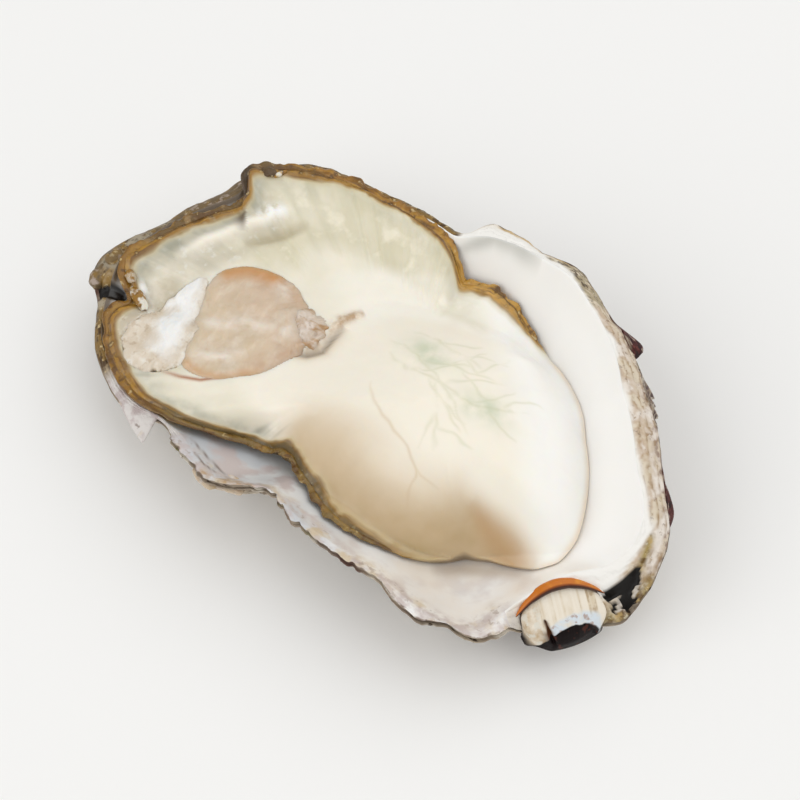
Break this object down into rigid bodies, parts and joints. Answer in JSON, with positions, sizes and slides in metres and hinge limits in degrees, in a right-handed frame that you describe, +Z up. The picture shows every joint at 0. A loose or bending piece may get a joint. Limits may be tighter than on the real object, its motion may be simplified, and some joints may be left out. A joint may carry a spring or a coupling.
{
  "type": "oyster in shell",
  "caption": "Raw oyster on the half shell: a cupped, layered lower valve holding plump soft meat with its cut muscle, wide at one end and narrowing to the hinge.",
  "frame": {"origin": "middle of the small flat spot under the cup, on the surface that it rests on", "axes": "+X from the wide open end of the shell towards the hinge, +Y towards the high side wall, +Z up"},
  "size_m": [0.1099, 0.0657, 0.0249],
  "materials": {
    "shell": "chalky shell outside, polished nacre inside",
    "meat": "wet",
    "adductor_quick": "wet, translucent",
    "adductor_catch": "wet, opaque",
    "ligament": "horny"
  },
  "bodies": {
    "root": {"shell": "shell", "meat": "meat", "adductor_quick": "adductor_quick", "adductor_catch": "adductor_catch", "hinge_ligament": "ligament"}
  },
  "joints": []
}
